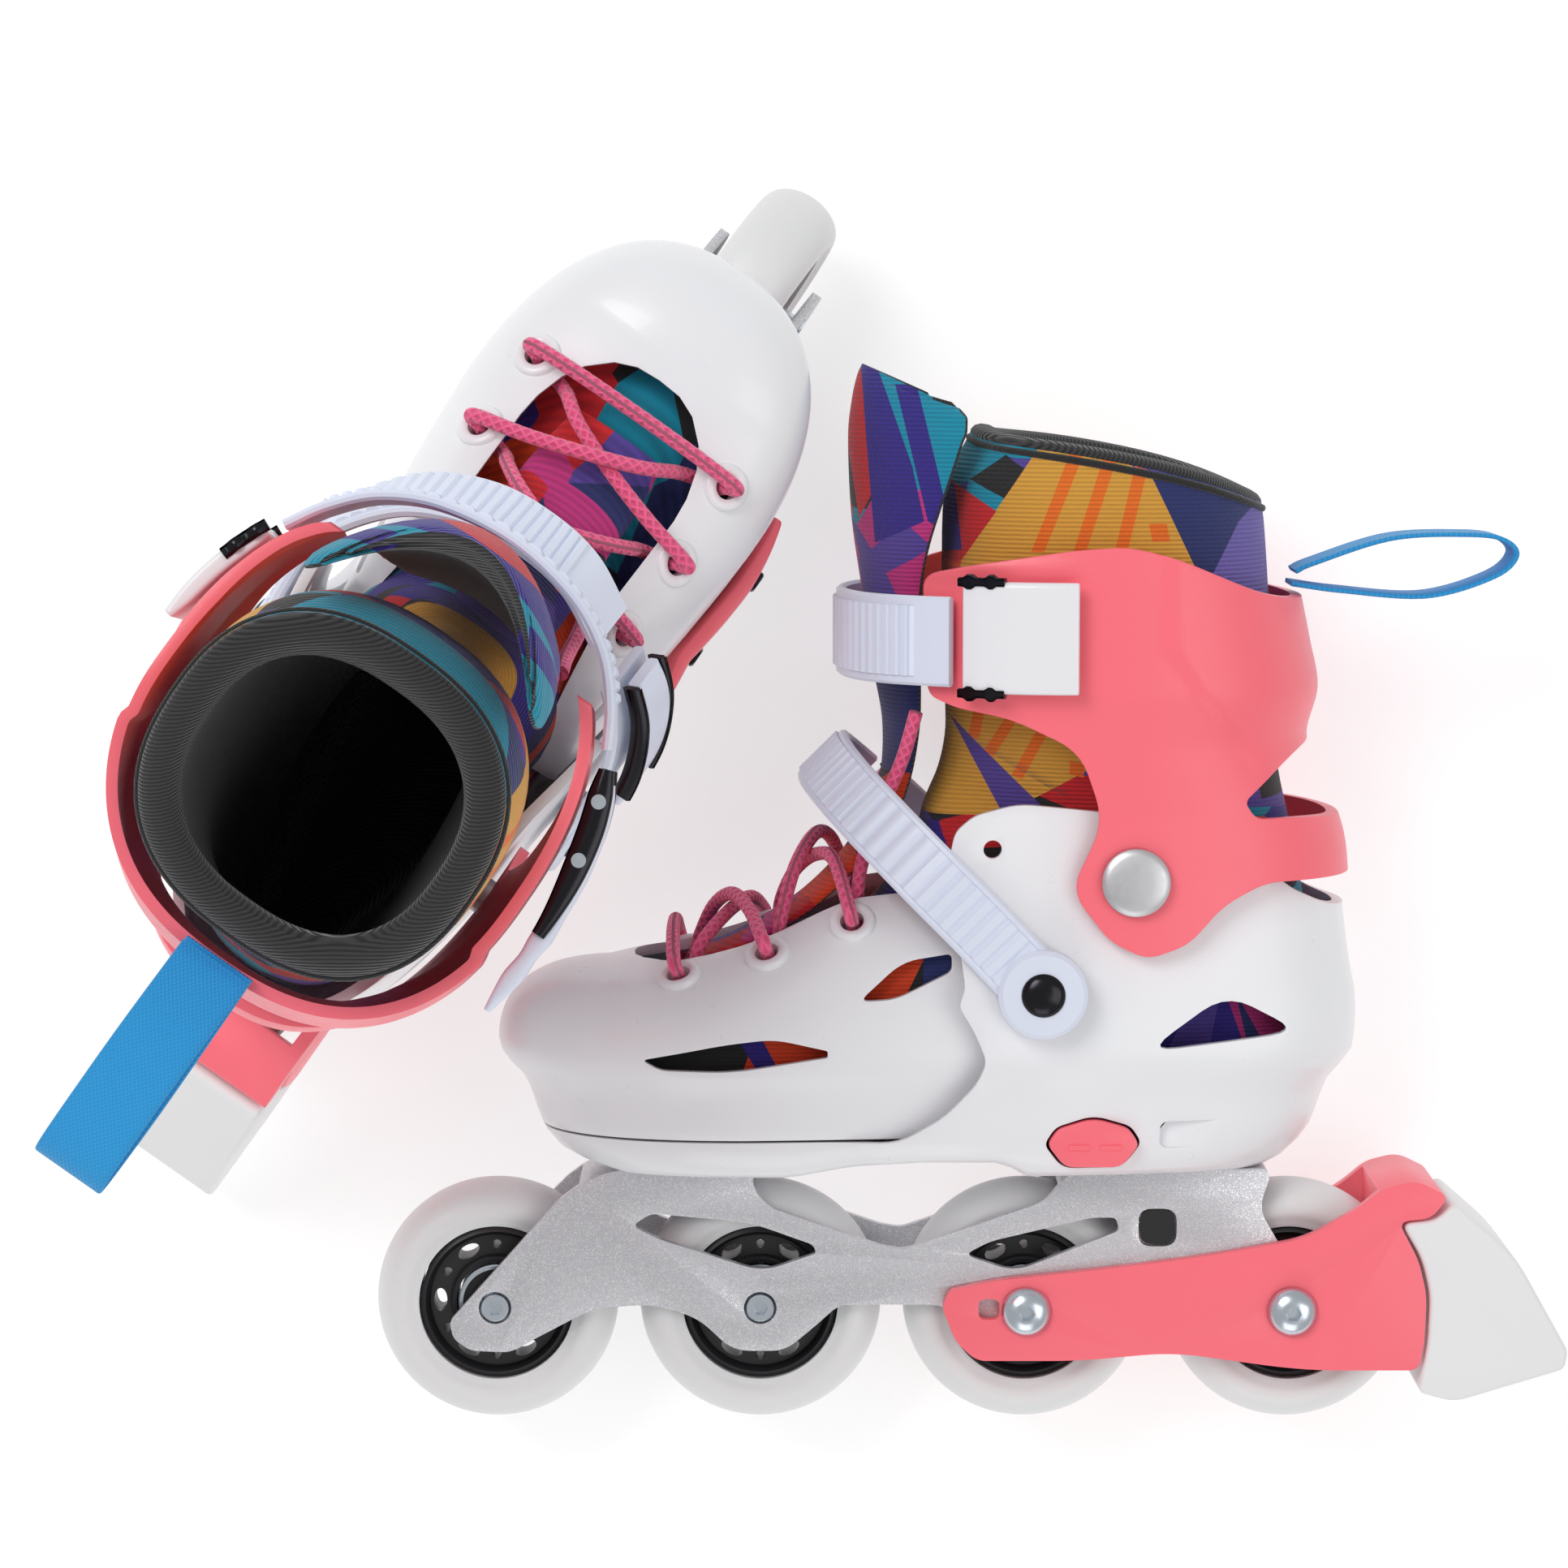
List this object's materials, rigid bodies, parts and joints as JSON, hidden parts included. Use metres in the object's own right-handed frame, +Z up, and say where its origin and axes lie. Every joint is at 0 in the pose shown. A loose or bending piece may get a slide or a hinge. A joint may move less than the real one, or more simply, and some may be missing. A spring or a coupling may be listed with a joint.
{
  "type": "inline skates",
  "caption": "Pair of size-adjustable inline skates with a sliding toe shell, hinged cuff, laces, ratchet strap, cuff buckle and heel brake; one lies on its side, one stands.",
  "frame": {"origin": "centre of the bottom of the pair's bounding box, on the ground", "axes": "+X along the lying skate from its toe to its heel, the pair's longest extent; +Z up from the ground, the shortest extent; +Y completes the frame"},
  "size_m": [0.4313, 0.3583, 0.305],
  "materials": {
    "alloy": "sparkle silver",
    "steel": "zinc plated",
    "urethane": "satin",
    "hub_black": "moulded",
    "white_shell": "semi-gloss",
    "satin": "satin",
    "strap_plastic": "moulded",
    "black_metal": "black nickel",
    "coral": "satin",
    "printed_knit": "printed ribbed knit",
    "white_rubber": "satin",
    "webbing": "woven webbing",
    "lace": "braided"
  },
  "bodies": {
    "a_chassis": {"a_frame": "alloy", "a_boot_shell": "white_shell", "a_cuff_rivet_left": "satin", "a_cuff_rivet_right": "satin", "a_liner": "printed_knit", "a_tongue": "printed_knit", "a_instep_strap": "strap_plastic", "a_instep_buckle": "strap_plastic", "a_brake_arm": "coral", "a_brake_pad": "white_rubber", "a_skid_plate": "coral", "a_axle_1": "steel", "a_axle_2": "steel", "a_axle_3": "steel", "a_axle_4": "steel"},
    "a_wheel_1": {"a_tyre_1": "urethane", "a_hub_1": "hub_black", "a_bearings_1": "steel"},
    "a_wheel_2": {"a_tyre_2": "urethane", "a_hub_2": "hub_black", "a_bearings_2": "steel"},
    "a_wheel_3": {"a_tyre_3": "urethane", "a_hub_3": "hub_black", "a_bearings_3": "steel"},
    "a_wheel_4": {"a_tyre_4": "urethane", "a_hub_4": "hub_black", "a_bearings_4": "steel"},
    "a_cuff": {"a_cuff": "coral", "a_cuff_strap": "strap_plastic", "a_pull_loop": "webbing"},
    "a_cuff_lever": {"a_cuff_lever": "black_metal"},
    "a_cuff_clasp": {"a_cuff_clasp": "white_shell"},
    "a_instep_lever": {"a_instep_lever": "strap_plastic"},
    "a_size_button": {"a_size_button": "coral"},
    "a_toe": {"a_toe_shell": "white_shell", "a_lace": "lace"},
    "b_chassis": {"b_frame": "alloy", "b_boot_shell": "white_shell", "b_cuff_rivet_left": "satin", "b_cuff_rivet_right": "satin", "b_liner": "printed_knit", "b_tongue": "printed_knit", "b_instep_strap": "strap_plastic", "b_instep_buckle": "strap_plastic", "b_brake_arm": "coral", "b_brake_pad": "white_rubber", "b_skid_plate": "coral"},
    "b_wheel_1": {"b_wheel_1": "urethane"},
    "b_wheel_2": {"b_wheel_2": "urethane"},
    "b_wheel_3": {"b_wheel_3": "urethane"},
    "b_wheel_4": {"b_wheel_4": "urethane"},
    "b_cuff": {"b_cuff": "coral", "b_cuff_strap": "strap_plastic", "b_pull_loop": "webbing"},
    "b_cuff_lever": {"b_cuff_lever": "black_metal"},
    "b_cuff_clasp": {"b_cuff_clasp": "white_shell"},
    "b_instep_lever": {"b_instep_lever": "strap_plastic"},
    "b_size_button": {"b_size_button": "coral"},
    "b_toe": {"b_toe_shell": "white_shell", "b_lace": "lace"}
  },
  "joints": [
    {"name": "a_wheel_1_spin", "type": "hinge", "parent": "a_chassis", "child": "a_wheel_1", "pos_m": [-0.09275, -0.14429, 0.04616], "axis": [0, -0.1045, 0.9945], "continuous": true},
    {"name": "a_wheel_2_spin", "type": "hinge", "parent": "a_chassis", "child": "a_wheel_2", "pos_m": [-0.01645, -0.14429, 0.04616], "axis": [0, -0.1045, 0.9945], "continuous": true},
    {"name": "a_wheel_3_spin", "type": "hinge", "parent": "a_chassis", "child": "a_wheel_3", "pos_m": [0.05985, -0.14429, 0.04616], "axis": [0, -0.1045, 0.9945], "continuous": true},
    {"name": "a_wheel_4_spin", "type": "hinge", "parent": "a_chassis", "child": "a_wheel_4", "pos_m": [0.13615, -0.14429, 0.04616], "axis": [0, -0.1045, 0.9945], "continuous": true},
    {"name": "a_cuff_flex", "type": "hinge", "parent": "a_chassis", "child": "a_cuff", "pos_m": [0.0887, -0.01799, 0.05943], "axis": [0, -0.1045, 0.9945], "range_deg": [-4, 6], "stiffness_Nm_per_rad": 4, "deforming": ["a_liner", "a_tongue"]},
    {"name": "a_cuff_lever_open", "type": "hinge", "parent": "a_cuff", "child": "a_cuff_lever", "pos_m": [0.0407, 0.05463, 0.01428], "axis": [0, 0.9945, 0.1045], "range_deg": [0, 75]},
    {"name": "a_cuff_clasp_open", "type": "hinge", "parent": "a_cuff", "child": "a_cuff_clasp", "pos_m": [0.0402, 0.04371, 0.1182], "axis": [0, -0.9945, -0.1045], "range_deg": [0, 60]},
    {"name": "a_instep_lever_open", "type": "hinge", "parent": "a_chassis", "child": "a_instep_lever", "pos_m": [0.0153, 0.00395, 0.0181], "axis": [0.7121, 0.6982, 0.0734], "range_deg": [0, 55]},
    {"name": "a_size_button_press", "type": "slide", "parent": "a_chassis", "child": "a_size_button", "axis": [0, 0.1045, -0.9945], "range_m": [0, 0.003], "stiffness_N_per_m": 400},
    {"name": "a_size_slide", "type": "slide", "parent": "a_chassis", "child": "a_toe", "axis": [-1, 0, 0], "range_m": [-0.009, 0], "deforming": ["a_liner", "a_tongue", "a_lace"]},
    {"name": "b_wheel_1_spin", "type": "hinge", "parent": "b_chassis", "child": "b_wheel_1", "pos_m": [-0.02065, 0.14755, 0.035], "axis": [-0.8192, 0.5736, 0], "continuous": true},
    {"name": "b_wheel_2_spin", "type": "hinge", "parent": "b_chassis", "child": "b_wheel_2", "pos_m": [-0.06442, 0.08505, 0.035], "axis": [-0.8192, 0.5736, 0], "continuous": true},
    {"name": "b_wheel_3_spin", "type": "hinge", "parent": "b_chassis", "child": "b_wheel_3", "pos_m": [-0.10818, 0.02255, 0.035], "axis": [-0.8192, 0.5736, 0], "continuous": true},
    {"name": "b_wheel_4_spin", "type": "hinge", "parent": "b_chassis", "child": "b_wheel_4", "pos_m": [-0.15195, -0.03995, 0.035], "axis": [-0.8192, 0.5736, 0], "continuous": true},
    {"name": "b_cuff_flex", "type": "hinge", "parent": "b_chassis", "child": "b_cuff", "pos_m": [-0.12473, -0.00108, 0.162], "axis": [-0.8192, 0.5736, 0], "range_deg": [-4, 6], "stiffness_Nm_per_rad": 4, "deforming": ["b_liner", "b_tongue"]},
    {"name": "b_cuff_lever_open", "type": "hinge", "parent": "b_cuff", "child": "b_cuff_lever", "pos_m": [-0.05419, 0.00812, 0.2295], "axis": [0, 0, 1], "range_deg": [0, 75]},
    {"name": "b_cuff_clasp_open", "type": "hinge", "parent": "b_cuff", "child": "b_cuff_clasp", "pos_m": [-0.13951, 0.06847, 0.2295], "axis": [0, 0, -1], "range_deg": [0, 60]},
    {"name": "b_instep_lever_open", "type": "hinge", "parent": "b_chassis", "child": "b_instep_lever", "pos_m": [-0.04708, 0.03415, 0.1795], "axis": [-0.4084, -0.5833, 0.7021], "range_deg": [0, 55]},
    {"name": "b_size_button_press", "type": "slide", "parent": "b_chassis", "child": "b_size_button", "axis": [0.8192, -0.5736, 0], "range_m": [0, 0.003], "stiffness_N_per_m": 400},
    {"name": "b_size_slide", "type": "slide", "parent": "b_chassis", "child": "b_toe", "axis": [0.5736, 0.8192, 0], "range_m": [-0.009, 0], "deforming": ["b_liner", "b_tongue", "b_lace"]},
    {"name": "b_pick_up", "type": "slide", "parent": "a_chassis", "child": "b_chassis", "axis": [0, 0, 1], "range_m": [0, 0.12]}
  ]
}
